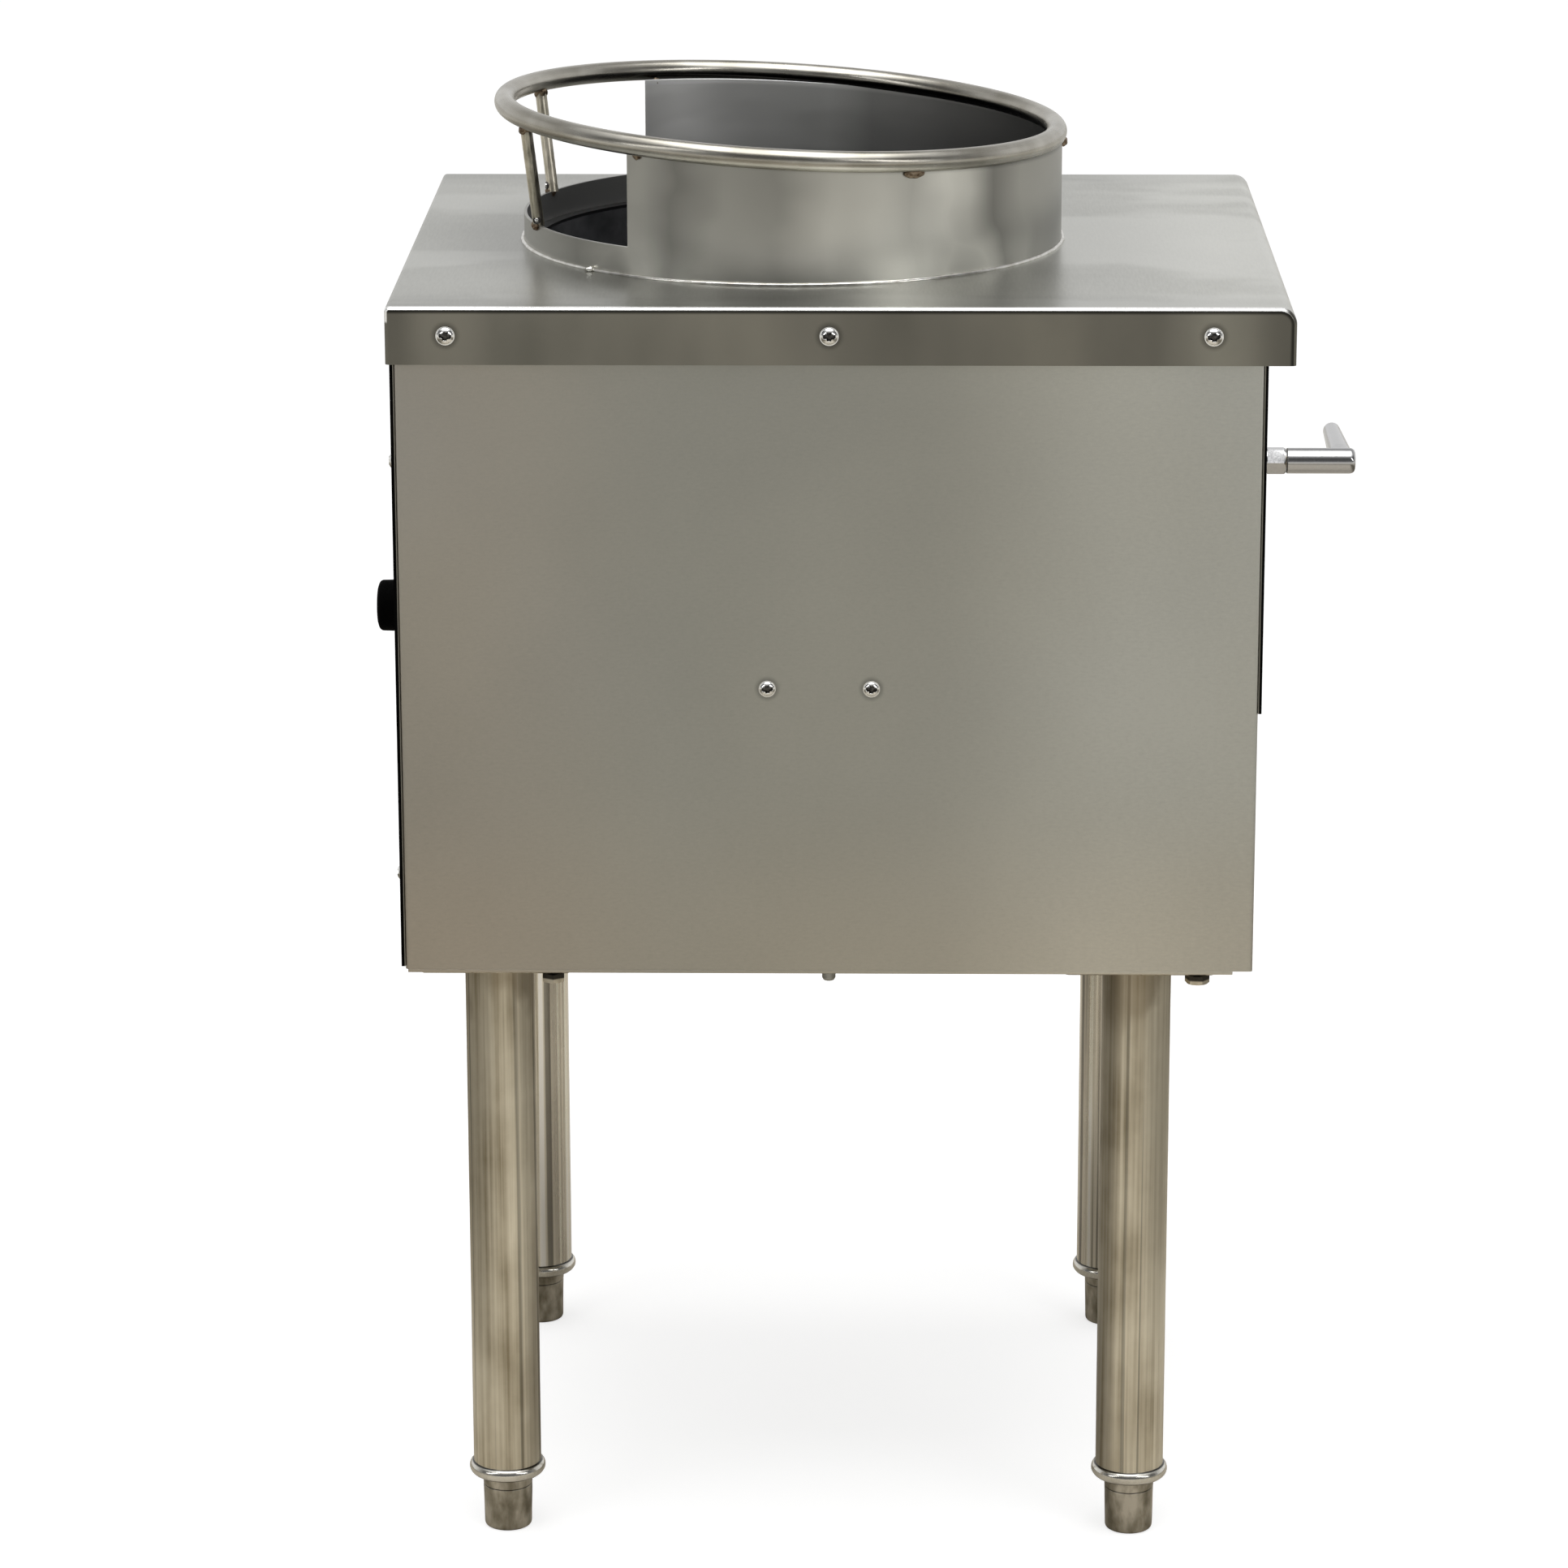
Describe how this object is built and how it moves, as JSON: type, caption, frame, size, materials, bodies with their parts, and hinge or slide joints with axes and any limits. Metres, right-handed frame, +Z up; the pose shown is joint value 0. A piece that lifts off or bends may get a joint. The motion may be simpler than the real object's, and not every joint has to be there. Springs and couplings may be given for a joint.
{
  "type": "wok range",
  "caption": "Wok range: brushed steel cabinet on tubular legs, with a sloped pot ring on a vented collar, a jet burner, a gas valve with a lever handle and a slide-out drip tray.",
  "frame": {"origin": "on the floor, under the middle of the whole range's box", "axes": "+Z up; -Y towards the cook, so the valve's handle is on the -Y side and the capped gas inlet on the +Y side; +X to the cook's right"},
  "size_m": [0.4758, 0.607, 0.8802],
  "materials": {
    "top_steel": "brushed, satin",
    "panel_steel": "brushed, satin",
    "plain_steel": "mill finish",
    "collar_steel": "brushed, satin",
    "ring_steel": "satin",
    "weld_steel": "rippled weld",
    "strut_steel": "heat-tinted",
    "liner_steel": "dull, sooty",
    "burner_iron": "rough cast",
    "jet_brass": "machined",
    "pipe_steel": "black, semi-matte",
    "fitting_iron": "rough cast",
    "valve_brass": "cast and machined",
    "handle_chrome": "polished",
    "screw_steel": "bright",
    "black_plastic": "moulded, dull",
    "tube_brass": "drawn, tarnished",
    "leg_steel": "mottled, heat-stained",
    "insert_steel": "turned, bright",
    "foot_steel": "turned, stained",
    "tray_steel": "satin"
  },
  "bodies": {
    "cabinet": {"top_sheet": "top_steel", "side_panel_left": "panel_steel", "side_panel_right": "panel_steel", "rear_panel": "panel_steel", "control_panel": "panel_steel", "leg_rail_rear": "plain_steel", "leg_rail_front": "plain_steel", "middle_rail": "plain_steel", "top_brace_rear": "plain_steel", "top_brace_front": "plain_steel", "collar": "collar_steel", "collar_weld": "weld_steel", "pot_ring": "ring_steel", "ring_struts": "strut_steel", "chamber_liner": "liner_steel", "liner_flange": "liner_steel", "liner_ledge": "liner_steel", "burner_rail": "plain_steel", "burner_body": "burner_iron", "burner_jets": "jet_brass", "burner_bolts": "screw_steel", "supply_pipe": "pipe_steel", "inlet_locknut": "fitting_iron", "supply_elbows": "fitting_iron", "riser_pipe": "pipe_steel", "valve_nipple": "pipe_steel", "valve_body": "valve_brass", "valve_bonnet": "handle_chrome", "panel_locknut": "screw_steel", "feed_pipe": "pipe_steel", "pilot_valve": "valve_brass", "pilot_tube": "tube_brass", "pilot_burner": "fitting_iron", "skirt_screws": "screw_steel", "rail_screws": "screw_steel", "rear_screws": "screw_steel", "base_screws": "screw_steel", "leg_rear_left": "leg_steel", "leg_rear_right": "leg_steel", "leg_front_left": "leg_steel", "leg_front_right": "leg_steel", "leg_bolts": "screw_steel", "leg_nuts": "screw_steel", "insert_rear_left": "insert_steel", "insert_rear_right": "insert_steel", "insert_front_left": "insert_steel", "insert_front_right": "insert_steel", "tray_runner_left": "plain_steel", "tray_runner_right": "plain_steel"},
    "valve_handle": {"valve_plug": "valve_brass", "valve_handle": "handle_chrome", "handle_set_screw": "fitting_iron"},
    "pilot_key": {"pilot_key": "screw_steel"},
    "inlet_cap": {"inlet_cap": "black_plastic"},
    "drip_tray": {"drip_tray": "tray_steel"},
    "foot_rear_left": {"foot_rear_left": "foot_steel"},
    "foot_rear_right": {"foot_rear_right": "foot_steel"},
    "foot_front_left": {"foot_front_left": "foot_steel"},
    "foot_front_right": {"foot_front_right": "foot_steel"}
  },
  "joints": [
    {"name": "valve_turn", "type": "hinge", "parent": "cabinet", "child": "valve_handle", "pos_m": [0, -0.198, 0.6451], "axis": [0, 1, 0], "range_deg": [0, 90]},
    {"name": "pilot_key_turn", "type": "hinge", "parent": "cabinet", "child": "pilot_key", "pos_m": [-0.062, -0.198, 0.5966], "axis": [0, 0, 1], "range_deg": [0, 90]},
    {"name": "inlet_cap_slide", "type": "slide", "parent": "cabinet", "child": "inlet_cap", "axis": [0, 1, 0], "range_m": [0, 0.03]},
    {"name": "drip_tray_slide", "type": "slide", "parent": "cabinet", "child": "drip_tray", "axis": [0, -1, 0], "range_m": [0, 0.35]},
    {"name": "foot_rear_left_height", "type": "slide", "parent": "cabinet", "child": "foot_rear_left", "axis": [0, 0, -1], "range_m": [0, 0.025]},
    {"name": "foot_rear_right_height", "type": "slide", "parent": "cabinet", "child": "foot_rear_right", "axis": [0, 0, -1], "range_m": [0, 0.025]},
    {"name": "foot_front_left_height", "type": "slide", "parent": "cabinet", "child": "foot_front_left", "axis": [0, 0, -1], "range_m": [0, 0.025]},
    {"name": "foot_front_right_height", "type": "slide", "parent": "cabinet", "child": "foot_front_right", "axis": [0, 0, -1], "range_m": [0, 0.025]}
  ]
}
